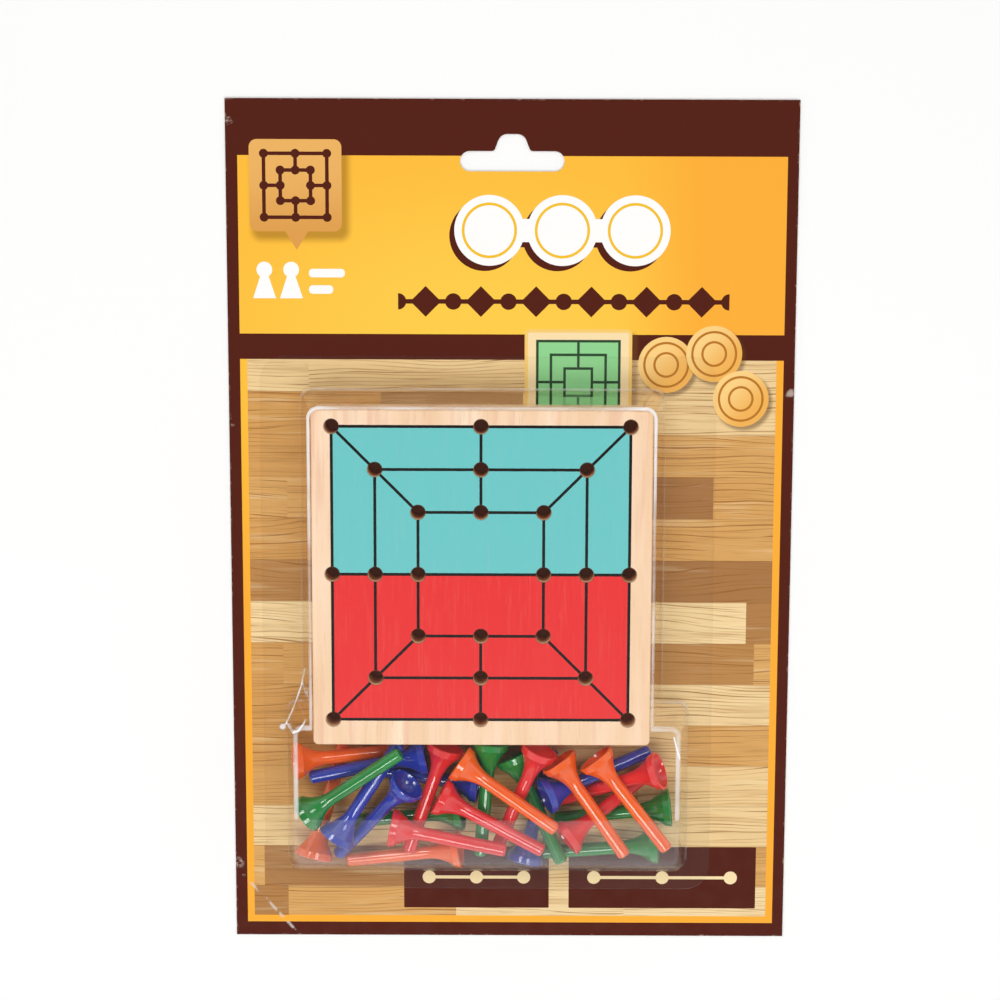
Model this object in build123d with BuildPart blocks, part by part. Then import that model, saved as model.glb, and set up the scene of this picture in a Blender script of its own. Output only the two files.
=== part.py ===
"""Nine mens morris game in its retail blister pack.

A printed backing card carries a clear thermoformed blister. Behind the blister lie a drilled
wooden board, in the upper pocket, and twenty-four loose plastic pegs, in the lower pocket.

Units are millimetres. The pack lies on its back: X runs across the card, Y up the card, and
Z out of its printed face. The origin is the centre of the card's back face.
"""

import os
from math import asin, cos, radians, sin

from build123d import *

# ---- backing card
card_width = 174.0
card_height = 262.4
card_thickness = 0.6
hang_slot_length = 31.75
hang_slot_height = 6.1
hang_slot_drop = 18.6  # from the card's top edge down to the slot's centre line
hang_peak_height = 5.1  # above the slot's upper edge
hang_peak_foot = 11.0
hang_peak_crown = 7.0
hang_peak_radius = 3.0
hang_throat_radius = 1.0

# ---- wooden board
board_size = 103.0
board_thickness = 19.0
board_x = -8.8
board_corner_radius = 1.5
board_edge_radius = 0.5

# ---- peg holes: the corners and the mid-sides of three nested squares
hole_diameter = 4.5
hole_depth = 12.0
square_sizes = (90.0, 64.0, 38.0)
pattern_shift_x = -0.3  # the drilling pattern sits a little off the board's centre
pattern_shift_y = 1.5

# ---- blister
film = 0.35
headroom = 1.6  # between the board's face and the inside of the blister's front
board_side_gap = 0.7  # around the board, at the blister's front
wall_spread = 4.0  # how far a side wall runs outward from the front down to the card
upper_corner_radius = 3.5  # where two side walls of the board pocket meet
upper_edge_radius = 1.6  # where its side walls meet its front
lower_left = 61.2  # from the board's centre to the peg pocket's left foot
lower_right = 64.5  # and to its right foot
lower_rise = 9.7  # from the board's lower edge up to the peg pocket's upper foot
lower_drop = 43.9  # and down to its bottom foot
lower_edge_radius = 3.0  # where two walls of the peg pocket meet, and where they meet its front
bottom_wall_straight = 1.6  # its bottom wall rolls over into its front above this height
flange_side = 7.4
flange_top = 10.0
flange_bottom = 7.4
flange_corner_radius = 7.5
flange_margin = 15.6  # from the card's lower edge up to the flange

# ---- pegs, shaped as golf tees
peg_length = 36.5
peg_head_diameter = 12.0
peg_stem_diameter = 4.2
peg_tip_diameter = 3.2
peg_tip_chamfer = 0.6
peg_flare_length = 8.5
peg_rim_height = 2.2
peg_rim_taper = 0.5
peg_lip_width = 0.8
peg_lip_round = 0.3
peg_cup_depth = 3.9

# ---- sizes and places that follow from those above
laid_length = 36.5  # the peg length that peg_places is set out for
pile_spread = max(1, peg_length / laid_length)  # longer pegs need a wider pile and pocket
pocket_left = lower_left * pile_spread
pocket_right = lower_right * pile_spread
pocket_drop = lower_drop * pile_spread
pocket_x = board_x + (pocket_right - pocket_left) / 2
blister_depth = board_thickness + headroom
bottom_curve_radius = blister_depth - bottom_wall_straight
flange_foot_y = flange_margin - card_height / 2
board_foot_y = flange_foot_y + flange_bottom + pocket_drop
board_y = board_foot_y + board_size / 2
board_top_z = card_thickness + board_thickness
slot_y = card_height / 2 - hang_slot_drop
peak_top_y = slot_y + hang_slot_height / 2 + hang_peak_height

# Where the loose pegs lie. Each has its colour, the place of its tip (across from the board's
# centre line, up from the board's lower edge, above the card's face), the heading of its head in
# degrees from +X, and how many degrees it rises from tip to head, for a peg of laid_length.
peg_places = (
    ("orange", -23.0, -5.5, 2.0, -177, 14),
    ("orange", -43.5, -4.1, 2.1, -105, 10),
    ("orange", -42.5, -41.5, 2.5, 8, 7),
    ("orange", 23.0, -27.0, 18.0, 146, -6),
    ("orange", 44.5, -36.0, 15.0, 125, -2),
    ("orange", 57.5, -34.0, 15.0, 128, -2),
    ("green", -25.0, -3.0, 18.0, -145, -7),
    ("green", -42.0, -29.0, 2.1, 7, 7),
    ("green", -0.5, -37.5, 10.0, 85, 0),
    ("green", 23.0, -27.5, 3.5, 7, 4),
    ("green", 19.0, -38.5, 3.5, 6, 6),
    ("green", 25.0, -39.5, 11.0, 115, -7),
    ("blue", -53.5, -13.0, 9.0, 11, -2),
    ("blue", -45.5, -39.5, 3.0, 49, 19),
    ("blue", -37.0, -11.5, 2.6, -7, 6),
    ("blue", -25.5, -1.0, 12.5, -123, 1),
    ("blue", 52.5, -6.0, 2.1, -160, 16),
    ("blue", 22.0, -5.5, 2.1, -104, 7),
    ("red", -23.0, -36.5, 8.5, 71, 5),
    ("red", 19.0, -34.5, 15.5, 152, -2),
    ("red", 7.5, -34.5, 15.0, 169, -2),
    ("red", 4.5, -36.0, 9.0, 68, 8),
    ("red", 22.5, -22.0, 2.7, 21, 16),
    ("red", 54.5, -11.0, 3.0, -144, 15),
)


def place(x, y, z):
    """A plane facing +Z at x, y, and z above the card's printed face."""
    return Plane(origin=(x, y, card_thickness + z))


def export(part, name):
    part.label = name
    export_step(part, f"parts/{name}.step")


# ---- backing card, with a hanging hole: a long slot with a rounded peak over its middle
with BuildPart() as backing_card:
    with BuildSketch():
        Rectangle(card_width, card_height)
        with BuildSketch(mode=Mode.PRIVATE) as hang_hole:
            with Locations((0, slot_y)):
                SlotOverall(hang_slot_length, hang_slot_height)
            with BuildLine():
                Polyline(
                    (-hang_peak_foot / 2, slot_y), (-hang_peak_foot / 2, peak_top_y - hang_peak_height),
                    (-hang_peak_crown / 2, peak_top_y), (hang_peak_crown / 2, peak_top_y),
                    (hang_peak_foot / 2, peak_top_y - hang_peak_height), (hang_peak_foot / 2, slot_y),
                    close=True,
                )
            make_face()
            rows = hang_hole.vertices().group_by(Axis.Y)
            fillet(rows[-1], hang_peak_radius)
            throat = [v for v in hang_hole.vertices() if abs(abs(v.X) - hang_peak_foot / 2) < 1e-6]
            fillet(throat, hang_throat_radius)
        add(hang_hole.sketch, mode=Mode.SUBTRACT)
    extrude(amount=card_thickness)


# ---- wooden board with twenty-four blind holes
with BuildPart() as game_board:
    with BuildSketch(place(board_x, board_y, 0)):
        RectangleRounded(board_size, board_size, board_corner_radius)
    extrude(amount=board_thickness)
    fillet(game_board.faces().sort_by(Axis.Z)[-1].edges(), board_edge_radius)
    fillet(game_board.faces().sort_by(Axis.Z)[0].edges(), board_edge_radius)
    steps = [(i, j) for i in (-1, 0, 1) for j in (-1, 0, 1) if (i, j) != (0, 0)]
    for size in square_sizes:
        for i, j in steps:
            hole_x = board_x + pattern_shift_x + i * size / 2
            hole_y = board_y + pattern_shift_y + j * size / 2
            with Locations((hole_x, hole_y, board_top_z)):
                Hole(hole_diameter / 2, depth=hole_depth)


# ---- clear blister: a film over two joined pockets, with a flange that lies on the card
def board_pocket(growth):
    """The square pocket over the board, with drafted walls, grown outward by growth."""
    foot = board_size + 2 * (board_side_gap + wall_spread + growth)
    front = board_size + 2 * (board_side_gap + growth)
    with BuildPart() as pocket:
        with BuildSketch(place(board_x, board_y, 0)):
            Rectangle(foot, foot)
        with BuildSketch(place(board_x, board_y, blister_depth + growth)):
            Rectangle(front, front)
        loft(ruled=True)
        fillet(pocket.edges().group_by(Axis.Z)[1], upper_corner_radius + growth)
        fillet(pocket.faces().sort_by(Axis.Z)[-1].edges(), upper_edge_radius + growth)
    return pocket.part


def peg_pocket(growth):
    """The wider pocket over the pegs, grown outward by growth."""
    width = pocket_left + pocket_right + 2 * growth
    length = lower_rise + pocket_drop + 2 * growth
    y = board_foot_y + (lower_rise - pocket_drop) / 2
    depth = blister_depth + growth
    with BuildPart() as pocket:
        with BuildSketch(place(pocket_x, y, 0)):
            Rectangle(width, length)
        with BuildSketch(place(pocket_x, y - wall_spread / 2, depth)):
            Rectangle(width - 2 * wall_spread, length - wall_spread)
        loft(ruled=True)
        front_edges = pocket.faces().sort_by(Axis.Z)[-1].edges()
        fillet(front_edges.sort_by(Axis.Y)[0], bottom_curve_radius + growth)
        upper_wall = pocket.faces().sort_by(Axis.Y)[-1]
        front = pocket.faces().sort_by(Axis.Z)[-1]
        side_edges = upper_wall.edges().sort_by(Axis.Z)[1:] + front.edges().sort_by(Axis.Y)[1:-1]
        fillet(side_edges, lower_edge_radius + growth)
    return pocket.part


def pocket_form(growth):
    """The space that the blister encloses, grown outward by growth, as one solid."""
    with BuildPart() as form:
        add(board_pocket(growth))
        add(peg_pocket(growth))
    return form.part


flange_width = pocket_left + pocket_right + 2 * flange_side
flange_top_y = board_y + board_size / 2 + board_side_gap + wall_spread + flange_top
outer_form = pocket_form(film)
inner_form = pocket_form(0)

with BuildPart() as blister:
    with BuildSketch(place(pocket_x, (flange_top_y + flange_foot_y) / 2, 0)):
        RectangleRounded(flange_width, flange_top_y - flange_foot_y, flange_corner_radius)
    extrude(amount=film)
    add(outer_form)
    add(inner_form, mode=Mode.SUBTRACT)


# ---- one loose peg
def lay_peg(across, up, above, heading, rise):
    """The tip and the axis of a peg in the pile. A shorter one keeps its head where it is."""
    level = laid_length * cos(radians(rise))
    climb = laid_length * sin(radians(rise))
    head = Vector(
        board_x + pile_spread * (across + level * cos(radians(heading))),
        board_foot_y + pile_spread * (up + level * sin(radians(heading))),
        card_thickness + above + climb,
    )
    slope = asin(climb / laid_length / pile_spread)
    axis = Vector(
        cos(slope) * cos(radians(heading)), cos(slope) * sin(radians(heading)), sin(slope),
    )
    return head - axis * peg_length, axis


def make_peg(tip, axis):
    """A golf tee with its tip at the given point and its head up along the given axis."""
    stem_radius = peg_stem_diameter / 2
    head_radius = peg_head_diameter / 2
    rim_foot = peg_length - peg_rim_height
    lip_radius = head_radius - peg_lip_width
    side = Vector(0, 0, 1).cross(axis).normalized()
    with BuildPart() as peg:
        with BuildSketch(Plane(origin=tip, x_dir=side, z_dir=side.cross(axis))):
            with BuildLine():
                Polyline(
                    (0, peg_length - peg_cup_depth), (0, 0), (peg_tip_diameter / 2, 0),
                    (stem_radius, peg_tip_chamfer), (stem_radius, rim_foot - peg_flare_length),
                )
                TangentArc(
                    (stem_radius, rim_foot - peg_flare_length), (head_radius - peg_rim_taper, rim_foot),
                    tangent=(0, 1),
                )
                Polyline(
                    (head_radius - peg_rim_taper, rim_foot), (head_radius, peg_length - peg_lip_round),
                    (head_radius - peg_lip_round, peg_length), (lip_radius, peg_length),
                )
                TangentArc(
                    (0, peg_length - peg_cup_depth), (lip_radius, peg_length), tangent=(1, 0),
                )
            make_face()
        revolve(axis=Axis(tip, axis))
    return peg.part


os.makedirs("parts", exist_ok=True)
export(backing_card.part, "backing_card")
export(game_board.part, "game_board")
export(blister.part, "blister")
counts = {}
for colour, *pose in peg_places:
    counts[colour] = counts.get(colour, 0) + 1
    tip, axis = lay_peg(*pose)
    export(make_peg(tip, axis), f"peg_{colour}_{counts[colour]}")
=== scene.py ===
import functools
import math

import bpy
from mathutils import Matrix, Vector


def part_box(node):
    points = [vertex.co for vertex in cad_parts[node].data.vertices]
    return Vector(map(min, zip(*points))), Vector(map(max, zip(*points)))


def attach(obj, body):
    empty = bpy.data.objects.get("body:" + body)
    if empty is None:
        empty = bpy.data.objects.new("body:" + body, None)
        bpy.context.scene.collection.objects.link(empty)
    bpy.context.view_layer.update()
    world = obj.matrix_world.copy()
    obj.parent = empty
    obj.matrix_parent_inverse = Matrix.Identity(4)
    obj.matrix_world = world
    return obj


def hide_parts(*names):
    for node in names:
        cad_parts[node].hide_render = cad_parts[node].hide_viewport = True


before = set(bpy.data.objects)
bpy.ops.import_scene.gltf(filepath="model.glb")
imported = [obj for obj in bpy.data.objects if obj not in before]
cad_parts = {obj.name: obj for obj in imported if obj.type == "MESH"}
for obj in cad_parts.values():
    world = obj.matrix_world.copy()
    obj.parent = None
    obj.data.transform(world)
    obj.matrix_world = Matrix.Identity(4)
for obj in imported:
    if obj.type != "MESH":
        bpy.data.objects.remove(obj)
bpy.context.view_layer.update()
MM = 0.001
print_middle = 0.4  # the card's and the board's print is laid out about a point this far up the card
card_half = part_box("backing_card")[1] / MM


# ---- arithmetic on shader sockets
class Value:
    """A number that varies over a surface. Comparisons give 1 or 0, * is and, | is or."""

    def __init__(self, graph, socket):
        self.graph, self.socket = graph, socket

    def __add__(self, other):
        return self.graph.math("ADD", self, other)

    def __radd__(self, other):
        return self.graph.math("ADD", other, self)

    def __sub__(self, other):
        return self.graph.math("SUBTRACT", self, other)

    def __rsub__(self, other):
        return self.graph.math("SUBTRACT", other, self)

    def __mul__(self, other):
        return self.graph.math("MULTIPLY", self, other)

    def __rmul__(self, other):
        return self.graph.math("MULTIPLY", other, self)

    def __truediv__(self, other):
        return self.graph.math("DIVIDE", self, other)

    def __lt__(self, other):
        return self.graph.math("LESS_THAN", self, other)

    def __gt__(self, other):
        return self.graph.math("GREATER_THAN", self, other)

    def __or__(self, other):
        return self.graph.math("MAXIMUM", self, other)

    def __abs__(self):
        return self.graph.math("ABSOLUTE", self)

    def floor(self):
        return self.graph.math("FLOOR", self)

    def wrap(self, high, low=0.0):
        return self.graph.math("WRAP", self, high, low)

    def ramp(self, low, high, start=0.0, end=1.0):
        """Runs smoothly from start at low to end at high."""
        node = self.graph.new("ShaderNodeMapRange", interpolation_type="SMOOTHSTEP")
        self.graph.put(node.inputs["Value"], self)
        for name, value in zip(("From Min", "From Max", "To Min", "To Max"), (low, high, start, end)):
            self.graph.put(node.inputs[name], value)
        return Value(self.graph, node.outputs["Result"])


class Graph:
    """One material's node tree, with a Principled shader at its end."""

    def __init__(self, name, middle_y=0.0):
        self.material = bpy.data.materials.new(name)
        self.material.use_nodes = True
        self.tree = self.material.node_tree
        self.tree.nodes.clear()
        self.output = self.new("ShaderNodeOutputMaterial")
        self.shader = self.new("ShaderNodeBsdfPrincipled")
        self.tree.links.new(self.shader.outputs[0], self.output.inputs["Surface"])
        where = self.new("ShaderNodeTexCoord").outputs["Object"]
        in_mm = self.vector("SCALE", where, scale=1 / MM)
        self.place = self.vector("SUBTRACT", in_mm, (0, middle_y, 0))
        parts = self.new("ShaderNodeSeparateXYZ")
        self.put(parts.inputs[0], self.place)
        self.x, self.y, self.z = (Value(self, s) for s in parts.outputs)

    def new(self, kind, **settings):
        node = self.tree.nodes.new(kind)
        for name, value in settings.items():
            setattr(node, name, value)
        return node

    def put(self, socket, value):
        if isinstance(value, Value):
            value = value.socket
        if isinstance(value, bpy.types.NodeSocket):
            self.tree.links.new(value, socket)
        else:
            socket.default_value = value

    def math(self, operation, *values):
        node = self.new("ShaderNodeMath", operation=operation)
        for socket, value in zip(node.inputs, values):
            self.put(socket, value)
        return Value(self, node.outputs[0])

    def vector(self, operation, *values, scale=None):
        node = self.new("ShaderNodeVectorMath", operation=operation)
        for socket, value in zip(node.inputs, values):
            self.put(socket, value)
        if scale is not None:
            node.inputs["Scale"].default_value = scale
        gives_number = operation in ("DISTANCE", "LENGTH", "DOT_PRODUCT")
        return node.outputs["Value" if gives_number else "Vector"]

    def point(self, x, y, z=0.0):
        node = self.new("ShaderNodeCombineXYZ")
        for socket, value in zip(node.inputs, (x, y, z)):
            self.put(socket, value)
        return node.outputs[0]

    def band(self, value, low, high):
        return self.math("COMPARE", value, (low + high) / 2, (high - low) / 2)

    def rectangle(self, x0, x1, y0, y1):
        return self.band(self.x, x0, x1) * self.band(self.y, y0, y1)

    def distance(self, point, target):
        return Value(self, self.vector("DISTANCE", point, target))

    def least(self, values):
        return functools.reduce(lambda a, b: self.math("MINIMUM", a, b), values)

    def rounded(self, x0, x1, y0, y1, radius):
        """How far outside a rounded rectangle a point lies, and less than 0 inside."""
        across = abs(self.x - (x0 + x1) / 2) - ((x1 - x0) / 2 - radius)
        along = abs(self.y - (y0 + y1) / 2) - ((y1 - y0) / 2 - radius)
        corner = self.point(across | 0.0, along | 0.0)
        return Value(self, self.vector("LENGTH", corner)) - radius

    def from_line(self, a, b):
        """The distance from the straight piece of line between two points."""
        flat = self.point(self.x, self.y)
        a, b = Vector((*a, 0)), Vector((*b, 0))
        run = b - a
        away = self.vector("SUBTRACT", flat, a)
        share = Value(self, self.vector("DOT_PRODUCT", away, run / run.length_squared))
        node = self.new("ShaderNodeClamp")
        self.put(node.inputs[0], share)
        reach = self.new("ShaderNodeVectorMath", operation="SCALE")
        reach.inputs[0].default_value = run
        self.put(reach.inputs["Scale"], node.outputs[0])
        return self.distance(away, reach.outputs[0])

    def noise(self, place, scale, detail=2.0, rough=0.5, stretch=(1, 1, 1)):
        mapped = self.vector("MULTIPLY", place, stretch)
        node = self.new("ShaderNodeTexNoise")
        self.put(node.inputs["Vector"], mapped)
        for name, value in (("Scale", scale), ("Detail", detail), ("Roughness", rough)):
            node.inputs[name].default_value = value
        return Value(self, node.outputs[0])

    def chance(self, place):
        node = self.new("ShaderNodeTexWhiteNoise")
        self.put(node.inputs["Vector"], place)
        return Value(self, node.outputs[0])

    def mix(self, under, over, share):
        node = self.new("ShaderNodeMix", data_type="RGBA")
        colours = [s for s in node.inputs if s.type == "RGBA"]
        self.put(node.inputs[0], share)
        for socket, colour in zip(colours, (under, over)):
            self.put(socket, colour)
        return next(s for s in node.outputs if s.type == "RGBA")

    def facing(self):
        """The surface's own direction, in the object's axes."""
        parts = self.new("ShaderNodeSeparateXYZ")
        self.put(parts.inputs[0], self.new("ShaderNodeTexCoord").outputs["Normal"])
        return [Value(self, s) for s in parts.outputs]

    def bump(self, height, strength, distance=0.1 * MM):
        node = self.new("ShaderNodeBump")
        node.inputs["Strength"].default_value = strength
        node.inputs["Distance"].default_value = distance
        self.put(node.inputs["Height"], height)
        self.put(self.shader.inputs["Normal"], node.outputs[0])

    def finish(self, **inputs):
        for name, value in inputs.items():
            self.put(self.shader.inputs[name.replace("_", " ")], value)
        return self.material


class Print:
    """Flat inks laid one over another."""

    def __init__(self, graph, colour):
        self.graph, self.colour = graph, colour

    def lay(self, colour, share):
        self.colour = self.graph.mix(self.colour, colour, share)


def rgb(code):
    """A colour written as a web code, as the linear light that shaders work in."""
    parts = [int(code[i:i + 2], 16) / 255 for i in (0, 2, 4)]
    linear = [p / 12.92 if p <= 0.04045 else ((p + 0.055) / 1.055) ** 2.4 for p in parts]
    return (*linear, 1.0)


BROWN, YELLOW, PALE_YELLOW = rgb("531f13"), rgb("fbbb3c"), rgb("fdce4c")
TAN, DEEP_TAN, WHITE, CREAM = rgb("eab161"), rgb("d59040"), rgb("fbfaf8"), rgb("f7dfae")
PAPER = rgb("d9d2c6")

# ---- the printed face of the card, in millimetres about print_middle
panel_x = (-83.4, 83.6)
head_y = (59.8, 113.8)
body_y = (-127.3, 52.0)
strip = 2.2  # yellow shows this far round the planks
plank_height, plank_top, plank_length = 13.12, 42.1, 70.0
badge_box, badge_shadow_box = (-79.9, -51.8, 90.9, 118.6), (-78.6, -50.2, 88.8, 117.0)
badge_middle, badge_corner = (-65.85, 104.75), 2.4
tail_x, tail_y = -65.6, (85.3, 91.2)
pawn_middles, pawn_foot_y, pawn_head_y, pawn_peak_y = (-75.6, -67.4), 70.6, 79.3, 81.2
counter_middles, counter_row = (-6.9, 15.35, 37.6), 91.4
frieze_x, frieze_row, frieze_step = (-34.8, 66.6), 69.8, 8.45
tile_box, tile_shadow_box = (4.0, 37.0, 29.0, 61.4), (5.2, 38.4, 27.6, 60.0)
tile_middle, tile_corner = (20.5, 45.2), 1.6
discs, disc_radius = ((47.5, 50.6), (62.2, 54.0), (70.6, 40.2)), 8.6
plates, plate_y = ((-33.6, 12.4), (18.7, 78.1)), (-122.5, -102.4)
knocks = (((-86.4, 33.0), 2.2), ((85.8, 42.0), 2.0), ((-86.3, -108.0), 2.4), ((-85.8, 124.0), 1.6))


def plank_print(g):
    """Rows of sawn planks with staggered joints, in three tones, with long running grain."""
    row = ((plank_top - g.y) / plank_height).floor()
    shift = g.chance(g.point(row, 3.0)) * plank_length
    length = g.chance(g.point(row, 8.0)) * 34.0 + 42.0
    along = (g.x + 200.0 + shift) / length
    number = along.floor()
    seed = g.point(row * 1.7, number * 2.3)
    tone, other = g.chance(seed), g.chance(g.point(number, row, 5.0))
    light = g.mix(rgb("ecca92"), rgb("f2d6a2"), other)
    mid = g.mix(rgb("d19b58"), rgb("dcab69"), other)
    dark = g.mix(rgb("a87748"), rgb("bb8951"), other)
    inks = Print(g, light)
    inks.lay(mid, tone > 0.34)
    inks.lay(dark, tone > 0.80)
    drift = g.point(g.x + other * 90.0, g.y + tone * 70.0, row * 9.0)
    broad = g.noise(drift, 0.5, 2.0, 0.5, (0.05, 0.7, 1.0))
    inks.lay(rgb("b5834a"), broad.ramp(0.50, 0.72, 0.0, 0.30))
    inks.lay(rgb("f6e0b2"), broad.ramp(0.28, 0.46, 0.26, 0.0))

    # streaks that run the plank's length, bend gently, swell and fade out
    tilt = (other - 0.5) * 0.05
    bend = g.noise(drift, 0.30, 1.0, 0.4, (0.07, 0.30, 1.0)) * 3.0
    for pitch, cut, share, part in ((0.42, 0.89, 0.75, 0.0), (0.90, 0.82, 0.45, 17.0)):
        lines = (g.y * pitch + g.x * tilt + bend * pitch * 2.2 + tone * 9.0 + part).wrap(1.0)
        swell = g.noise(g.vector("ADD", drift, (part, part, 0)), 0.5, 2.0, 0.5, (0.05, 0.5, 1.0))
        edge = swell.ramp(0.30, 0.68, 0.10, -0.03) + cut
        inks.lay(rgb("96602a"), (lines > edge) * swell.ramp(0.42, 0.56, 0.0, share))
    fibre = g.noise(drift, 1.6, 2.0, 0.6, (0.04, 1.3, 1.0))
    inks.lay(rgb("a06f3b"), fibre.ramp(0.58, 0.70, 0.0, 0.30))
    in_row = ((plank_top - g.y) / plank_height).wrap(1.0)
    inks.lay(rgb("8a5c33"), (in_row < 0.02) * 0.35)
    return inks.colour


def card_material():
    g = Graph("printed_card", print_middle)
    inks = Print(g, BROWN)
    body = Print(g, YELLOW)
    from_glow = g.distance(g.point(g.x * 0.6, g.y), (-6.0, 58.0, 0))
    body.lay(PALE_YELLOW, from_glow.ramp(64.0, 6.0, 0.0, 0.9))
    body.lay(rgb("faac37"), g.x.ramp(30.0, 62.0, 0.0, 0.9) | g.y.ramp(30.0, -30.0, 0.0, 0.8))
    inks.lay(body.colour, g.rectangle(*panel_x, *head_y) | g.rectangle(*panel_x, *body_y))
    planks = g.rectangle(panel_x[0] + strip, panel_x[1] - strip, body_y[0] + strip, body_y[1])
    inks.lay(plank_print(g), planks)

    # a round-cornered badge with a tail, its soft shadow, and nested squares on it
    badge = g.rounded(*badge_box, badge_corner)
    shadow_edge = g.rounded(*badge_shadow_box, badge_corner)
    in_head = g.band(g.y, *head_y) * g.band(g.x, *panel_x)
    inks.lay(rgb("7a4a16"), shadow_edge.ramp(2.2, -1.0, 0.0, 0.55) * in_head)
    tail = (abs(g.x - tail_x) < (g.y - tail_y[0]) * 0.62) * g.band(g.y, *tail_y)
    shade = Print(g, TAN)
    shade.lay(DEEP_TAN, g.y.ramp(112.0, 88.0, 0.0, 0.65))
    inks.lay(shade.colour, (badge < 0.0) | tail)
    u, v = abs(g.x - badge_middle[0]), abs(g.y - badge_middle[1])
    reach = u | v
    marks = (abs(reach - 9.6) < 0.55) | (abs(reach - 4.6) < 0.55)
    marks = marks | ((u < 0.55) | (v < 0.55)) * g.band(reach, 4.6, 9.6)
    corner = g.point(u, v)
    for spot in (4.6, 9.6):
        for target in ((spot, spot, 0), (spot, 0, 0), (0, spot, 0)):
            marks = marks | (g.distance(corner, target) < 1.35)
    inks.lay(BROWN, marks)

    # two pawns and two bars
    flat = g.point(g.x, g.y)
    for middle in pawn_middles:
        head = g.distance(flat, (middle, pawn_head_y, 0)) < 2.4
        skirt = (abs(g.x - middle) < (pawn_peak_y - g.y) * 0.33) * g.band(g.y, pawn_foot_y, pawn_head_y)
        inks.lay(WHITE, head | skirt)
    for low, high, right in ((77.0, 79.6, -51.0), (72.0, 74.6, -54.6)):
        inks.lay(WHITE, g.rounded(-62.0, right, low, high, 1.2) < 0.0)

    # three counters in a row, with a dropped edge
    def counters(dx, dy, grow):
        shape = (abs(g.y - (counter_row + dy)) < 3.1 + grow) * g.band(g.x, -6.4 + dx, 37.0 + dx)
        for middle in counter_middles:
            shape = shape | (g.distance(flat, (middle + dx, counter_row + dy, 0)) < 10.3 + grow)
        return shape

    inks.lay(BROWN, counters(-1.5, -1.6, 0.4))
    inks.lay(WHITE, counters(0.0, 0.0, 0.4))
    for middle in counter_middles:
        ring = abs(g.distance(flat, (middle, counter_row, 0)) - 8.0) < 0.42
        inks.lay(rgb("f3c02c"), ring)

    # a frieze of lozenges and dots
    beat = (g.x - frieze_x[0]).wrap(2 * frieze_step) - frieze_step
    lozenge = (abs(beat) + abs(g.y - frieze_row)) < 4.7
    dots = g.distance(g.point(abs(beat), g.y), (frieze_step, frieze_row, 0)) < 2.5
    thread = abs(g.y - frieze_row) < 0.7
    inks.lay(BROWN, (lozenge | dots | thread) * g.band(g.x, *frieze_x))

    # a cream tile with a green field, and three turned counters beside it
    tile = g.rounded(*tile_box, tile_corner)
    shadow_edge = g.rounded(*tile_shadow_box, tile_corner)
    inks.lay(rgb("6e451c"), shadow_edge.ramp(1.2, -0.6, 0.0, 0.5))
    inks.lay(CREAM, tile < 0.0)
    inks.lay(rgb("f6cd74"), (tile > -1.0) * (tile < 0.0))
    u, v = abs(g.x - tile_middle[0]), abs(g.y - tile_middle[1])
    reach = u | v
    inks.lay(rgb("8fd492"), reach < 12.6)
    squares = (abs(reach - 12.6) < 0.4) | (abs(reach - 8.4) < 0.4) | (abs(reach - 4.2) < 0.4)
    squares = squares | ((u < 0.4) | (v < 0.4)) * g.band(reach, 4.2, 12.6)
    inks.lay(rgb("2f4a32"), squares)
    for cx, cy in discs:
        away = g.distance(flat, (cx, cy, 0))
        below = g.distance(flat, (cx + 0.9, cy - 1.0, 0))
        inks.lay(rgb("5d3817"), below.ramp(disc_radius + 1.0, disc_radius - 0.6, 0.0, 0.6))
        disc = Print(g, rgb("f0b257"))
        disc.lay(rgb("fbd78e"), (g.y - g.x - (cy - cx)).ramp(-disc_radius, disc_radius, 0.0, 0.8))
        rings = (abs(away - disc_radius * 0.78) < 0.35) | (abs(away - disc_radius * 0.42) < 0.35)
        disc.lay(rgb("b87425"), rings)
        inks.lay(disc.colour, away < disc_radius)

    # two dark plates low on the card, each with a keyline and dots joined by a bar
    row = (plate_y[0] + plate_y[1]) / 2
    for x0, x1 in plates:
        plate = g.rounded(x0, x1, *plate_y, 0.3)
        inks.lay(BROWN, plate < 0.0)
        inks.lay(rgb("c9a183"), abs(plate + 1.3) < 0.16)
        middle, half = (x0 + x1) / 2, (x1 - x0) / 2 - 8.0
        near = abs(g.x - middle)
        inks.lay(CREAM, (abs(g.y - row) < 0.5) * (near < half))
        dot_at = (near + half / 2).wrap(half) - half / 2
        inks.lay(CREAM, (g.distance(g.point(dot_at, g.y), (0, row, 0)) < 2.1) * (near < half + 3.0))

    # handling: rubbed edges, a bent corner, and small knocks
    rub = g.noise(g.place, 0.35, 4.0, 0.65)
    from_side = card_half.x - abs(g.x)
    from_end = card_half.y - abs(g.y + print_middle)
    edge = from_side.ramp(0.0, 0.6, 1.0, 0.0) | from_end.ramp(0.0, 0.6, 1.0, 0.0)
    inks.lay(rgb("b9a596"), edge * rub.ramp(0.56, 0.68, 0.0, 0.7))
    crease = g.from_line((-84.5, -112.0), (-67.0, -131.5))
    inks.lay(rgb("d8cdc2"), crease.ramp(0.1, 0.7, 0.75, 0.0) * rub.ramp(0.46, 0.56, 0.0, 1.0))
    for spot, size in knocks:
        knock = g.distance(flat, (*spot, 0)).ramp(size, size * 0.3, 0.0, 1.0)
        inks.lay(rgb("b9a79a"), knock * rub.ramp(0.47, 0.60, 0.0, 0.9))

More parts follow.
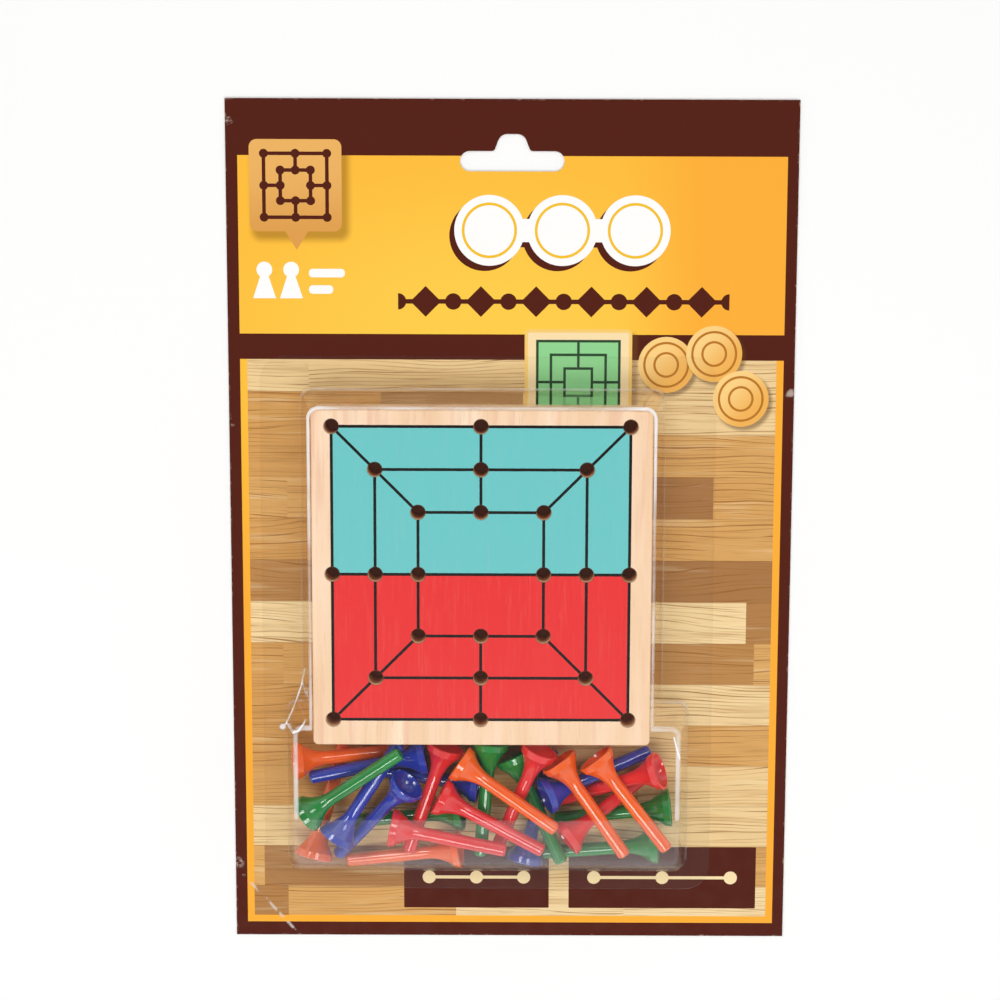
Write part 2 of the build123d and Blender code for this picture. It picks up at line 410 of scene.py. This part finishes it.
    # bare board on the back and through its thickness
    upward = g.facing()[2]
    fibres = g.noise(g.place, 0.9, 5.0, 0.7)
    back = g.mix(PAPER, rgb("bdb5a8"), fibres.ramp(0.35, 0.7))
    colour = g.mix(back, inks.colour, upward > 0.5)
    height = g.noise(g.place, 1.6, 4.0, 0.6) * 0.5 + crease.ramp(0.0, 1.4, 1.0, 0.0) * 3.0
    g.bump(height, 0.25)
    smooth = g.noise(g.place, 0.2, 3.0).ramp(0.3, 0.7, 0.42, 0.55)
    return g.finish(Base_Color=colour, Roughness=smooth, Specular_IOR_Level=0.06)


# ---- the board: bare wood with two painted halves and the ruled lines of a mill board
pattern = (-9.1, -11.7)  # the middle of its squares, about print_middle
squares = (45.0, 32.0, 19.0)  # half the side of each
board_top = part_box("game_board")[1].z / MM
paint_depth = 0.45
line_half = 0.45
hole_radius = 2.25


def board_material():
    g = Graph("board_wood", print_middle)
    fine = g.noise(g.place, 1.4, 4.0, 0.6, (1.0, 0.05, 1.0))
    broad = g.noise(g.place, 0.16, 3.0, 0.55, (1.0, 0.10, 1.0))
    pores = g.noise(g.place, 4.5, 2.0, 0.5, (1.0, 0.04, 1.0))
    wood = Print(g, rgb("fedcbd"))
    wood.lay(rgb("f4cda6"), broad.ramp(0.42, 0.66, 0.0, 0.7))
    wood.lay(rgb("ffead0"), broad.ramp(0.30, 0.46, 0.7, 0.0))
    wood.lay(rgb("e0b086"), fine.ramp(0.56, 0.76, 0.0, 0.40))
    blush = g.noise(g.place, 0.30, 2.0, 0.5, (1.0, 0.06, 1.0))
    wood.lay(rgb("efbfa2"), blush.ramp(0.52, 0.70, 0.0, 0.60))
    wood.lay(rgb("c8946a"), pores.ramp(0.64, 0.76, 0.0, 0.35))
    u, v = abs(g.x - pattern[0]), abs(g.y - pattern[1])
    reach = u | v
    face = g.z > board_top - paint_depth
    paint = Print(g, rgb("68c9ca"))
    paint.lay(rgb("ec242b"), g.y < pattern[1])
    paint.lay(wood.colour, fine.ramp(0.50, 0.80, 0.02, 0.08))
    paint.lay(rgb("ffffff"), pores.ramp(0.24, 0.34, 0.05, 0.0))
    wood.lay(paint.colour, (reach < squares[0]) * face)
    ragged = g.noise(g.place, 2.2, 2.0) * 0.16 - 0.08 + line_half
    lines = (v < ragged) * (u < squares[0])
    lines = lines | (u < ragged) * g.band(v, squares[2], squares[0])
    lines = lines | (abs(u - v) < ragged * 1.4) * g.band(u, squares[2], squares[0])
    for half in squares:
        lines = lines | (abs(reach - half) < ragged)
    wood.lay(rgb("0e0b09"), lines * face)
    corner = g.point(u, v)
    targets = [spot for half in squares for spot in ((half, half, 0), (half, 0, 0), (0, half, 0))]
    hole = g.least(g.distance(corner, target) for target in targets)
    bore = (hole < hole_radius + 0.04) * (g.z < board_top - 0.02)
    wood.lay(rgb("5a3a28"), hole.ramp(hole_radius + 0.22, hole_radius + 0.06, 0.0, 0.7))
    wood.lay(rgb("f6d8b6"), bore)
    # painted shade: each bore is painted darker deeper down, where less light reaches
    wood.lay(rgb("d49c6e"), bore * g.z.ramp(board_top - 1.4, board_top - 3.4))
    g.bump(fine * 0.7 + pores * 0.3, 0.22)
    shine = g.mix((0.55, 0.55, 0.55, 1), (0.38, 0.38, 0.38, 1), (reach < squares[0]) * face)
    return g.finish(Base_Color=wood.colour, Roughness=shine, Specular_IOR_Level=0.1)


# ---- the pegs: glossy moulded plastic, with faint flow marks
def peg_material(name, code, deep, bright):
    g = Graph(name)
    flow = g.noise(g.place, 0.10, 3.0, 0.55)
    colour = Print(g, rgb(code))
    colour.lay(rgb(deep), flow.ramp(0.42, 0.72, 0.0, 0.5))
    colour.lay(rgb(bright), flow.ramp(0.25, 0.45, 0.5, 0.0))
    g.bump(g.noise(g.place, 0.5, 1.0), 0.05, 0.2 * MM)
    smooth = g.noise(g.place, 0.35, 2.0).ramp(0.3, 0.7, 0.08, 0.13)
    return g.finish(Base_Color=colour.colour, Roughness=smooth, Specular_IOR_Level=1.0, IOR=1.5)


# ---- the blister: clear film, seen by what it mirrors, by white stress marks, and by painted reflections and highlights
roll_y = -87.6  # the peg pocket's front starts to roll over here
pocket_end_y = -112.0
front_z = 12.0  # both pockets' fronts lie above this, the flange far below it
torn_spot = (-71.6, -63.2)
creases = (
    ((-63.9, -43.2), (-65.4, -49.2)),
    ((-65.4, -49.2), (-67.7, -56.0)),
    ((-67.7, -56.0), (-70.5, -62.2)),
    ((-72.1, -63.6), (-70.5, -62.2)),
    ((-70.5, -62.2), (-67.0, -60.8)),
    ((-67.0, -60.8), (-64.7, -59.6)),
    ((-64.7, -59.6), (-63.1, -57.6)),
    ((51.9, -68.2), (50.0, -61.2)),
)


def film_material():
    g = Graph("clear_film")
    # painted reflection: a cloudy white veil is painted over the peg pocket's rolled-over front, where
    # a lamp would be mirrored, and a faint haze over the whole film
    roll = g.band(g.y, pocket_end_y, roll_y) * (g.z > 1.6)
    cloud = g.noise(g.place, 0.10, 3.0, 0.6).ramp(0.25, 0.75, 0.75, 1.25)
    whitening_and_painted_glare = roll * cloud * 0.034 + 0.003

    # stress marks, which swell and thin out along their length
    away = g.least(g.from_line(a, b) for a, b in creases)
    torn = g.distance(g.point(g.x, g.y), (*torn_spot, 0)).ramp(0.5, 1.3, 0.8, 0.0)
    swell = g.noise(g.place, 0.35, 1.0) * 0.36 + 0.10
    whitening_and_painted_glare = whitening_and_painted_glare + ((swell - away).ramp(-0.06, 0.12, 0.0, 0.8) | torn) * (g.z > 0.8)

    # painted highlights: the film is painted whiter along its rounded edges and the foot of its walls,
    # above all round the board's upper corners, standing in for lamps glinting there
    upward = abs(g.facing()[2])
    bend = g.band(upward, 0.50, 0.88) * (g.y > roll_y) + (g.z < 2.6) * (upward < 0.5)
    glint = g.noise(g.place, 0.06, 2.0, 0.5).ramp(0.35, 0.65, 0.16, 0.40)
    side = abs(g.x - pattern[0]).ramp(42.0, 50.0)
    whitening_and_painted_glare = whitening_and_painted_glare + bend * (glint + side * g.y.ramp(-8.0, 34.0, 0.0, 0.50) * (g.z > front_z))

    # it mirrors more the more it is seen from the side, and its flat faces hardly at all
    slant = Value(g, g.new("ShaderNodeLayerWeight").outputs["Facing"])
    steep = slant * slant * slant
    quiet = upward.ramp(0.86, 0.97)
    mirror = (steep * steep * 0.50 + steep * 0.14 + 0.018) * (1.0 - quiet * 0.94)
    share = mirror + whitening_and_painted_glare
    ripple = g.noise(g.place, 0.045, 3.0, 0.5) + g.noise(g.place, 0.3, 2.0) * 0.06
    g.bump(ripple, 0.5, 0.6 * MM)
    smooth = (whitening_and_painted_glare / share) * 0.4 + 0.035
    g.finish(Base_Color=(1, 1, 1, 1), Metallic=mirror / share, Roughness=smooth)
    clear = g.new("ShaderNodeBsdfTransparent")
    clear.inputs[0].default_value = (0.985, 0.985, 0.980, 1)
    blend = g.new("ShaderNodeMixShader")
    g.put(blend.inputs[0], share)
    g.tree.links.new(clear.outputs[0], blend.inputs[1])
    g.tree.links.new(g.shader.outputs[0], blend.inputs[2])
    g.tree.links.new(blend.outputs[0], g.output.inputs["Surface"])
    return g.material


def dress(node, material):
    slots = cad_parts[node].material_slots
    for slot in slots:
        slot.material = material


dress("backing_card", card_material())
dress("game_board", board_material())
peg_colours = {
    "orange": ("fb620a", "f05404", "ff7618"),
    "green": ("178a38", "0e702a", "28a04a"),
    "blue": ("273cb0", "1e2e9a", "364ec6"),
    "red": ("ee2c30", "d81c24", "f8484a"),
}
for colour, codes in peg_colours.items():
    plastic = peg_material(f"{colour}_plastic", *codes)
    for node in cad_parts:
        if node.startswith(f"peg_{colour}_"):
            dress(node, plastic)

# ---- the film lies a hair above the card, since two faces in one plane can't both be rendered
card_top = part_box("backing_card")[1].z
film_lift = 0.02 * MM
film_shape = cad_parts["blister"].data.copy()
for corner in film_shape.vertices:
    corner.co.z = max(corner.co.z, card_top + film_lift)
film = bpy.data.objects.new("film", film_shape)
bpy.context.collection.objects.link(film)
film_shape.materials.clear()
film_shape.materials.append(film_material())
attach(film, "blister")
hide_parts("blister")

# ---- floor, light and camera
floor_half, floor_gap = 6.0, 0.2 * MM
floor_mesh = bpy.data.meshes.new("floor")
corner_signs = ((-1, -1), (1, -1), (1, 1), (-1, 1))
floor_corners = [(x * floor_half, y * floor_half, 0) for x, y in corner_signs]
floor_mesh.from_pydata(floor_corners, [], [(0, 1, 2, 3)])
floor = bpy.data.objects.new("floor", floor_mesh)
floor.location.z = -floor_gap
bpy.context.collection.objects.link(floor)
g = Graph("floor")
pale = g.mix(rgb("fcfcfc"), rgb("f9f9f8"), g.noise(g.place, 0.004, 2.0))
floor_mesh.materials.append(g.finish(Base_Color=pale, Roughness=0.9, Specular_IOR_Level=0.1))

# an even dome, bright at the horizon and dim overhead, so that the film's flat faces stay clear
world = bpy.data.worlds.new("studio")
bpy.context.scene.world = world
world.use_nodes = True
tree = world.node_tree
parts = tree.nodes.new("ShaderNodeSeparateXYZ")
tree.links.new(tree.nodes.new("ShaderNodeTexCoord").outputs["Generated"], parts.inputs[0])
dome = tree.nodes.new("ShaderNodeMapRange")
dome.interpolation_type = "SMOOTHSTEP"
for name, value in (("From Min", 0.30), ("From Max", 0.92), ("To Min", 0.80), ("To Max", 0.16)):
    dome.inputs[name].default_value = value
tree.links.new(parts.outputs["Z"], dome.inputs["Value"])
tree.links.new(dome.outputs["Result"], tree.nodes["Background"].inputs["Strength"])
tree.nodes["Background"].inputs["Color"].default_value = (1, 1, 1, 1)


def lamp(name, place, size, power):
    """A flat lamp that faces the card's middle."""
    data = bpy.data.lights.new(name, "AREA")
    data.shape = "RECTANGLE"
    data.size, data.size_y = size
    data.energy = power
    light = bpy.data.objects.new(name, data)
    light.location = place
    light.rotation_mode = "QUATERNION"
    light.rotation_quaternion = (-Vector(place)).to_track_quat("-Z", "Y")
    bpy.context.collection.objects.link(light)


lamp("upper_left", (-0.55, 0.55, 1.15), (0.40, 0.40), 3.6)
lamp("upper_right", (0.60, 0.45, 1.15), (0.40, 0.40), 2.6)
lamp("lower_middle", (0.0, -0.52, 1.20), (0.90, 0.42), 7.6)

view_tilt = math.radians(8.5)
view_roll = math.radians(0.2)
view_distance = 0.700
focal_pixels, picture_pixels, sensor_mm = 2252.0, 1000.0, 36.0
camera = bpy.data.cameras.new("camera")
camera.sensor_width = sensor_mm
camera.lens = sensor_mm * focal_pixels / picture_pixels
camera.shift_x, camera.shift_y = -0.011, 0.0283
camera.clip_start, camera.clip_end = 0.01, 50.0
viewer = bpy.data.objects.new("camera", camera)
viewer.location = (0, view_distance * math.sin(view_tilt), view_distance * math.cos(view_tilt))
aim = Matrix.Rotation(-view_tilt, 3, "X") @ Matrix.Rotation(view_roll, 3, "Z")
viewer.rotation_euler = aim.to_euler()
bpy.context.collection.objects.link(viewer)
bpy.context.scene.camera = viewer
bpy.context.scene.view_settings.view_transform = "Standard"
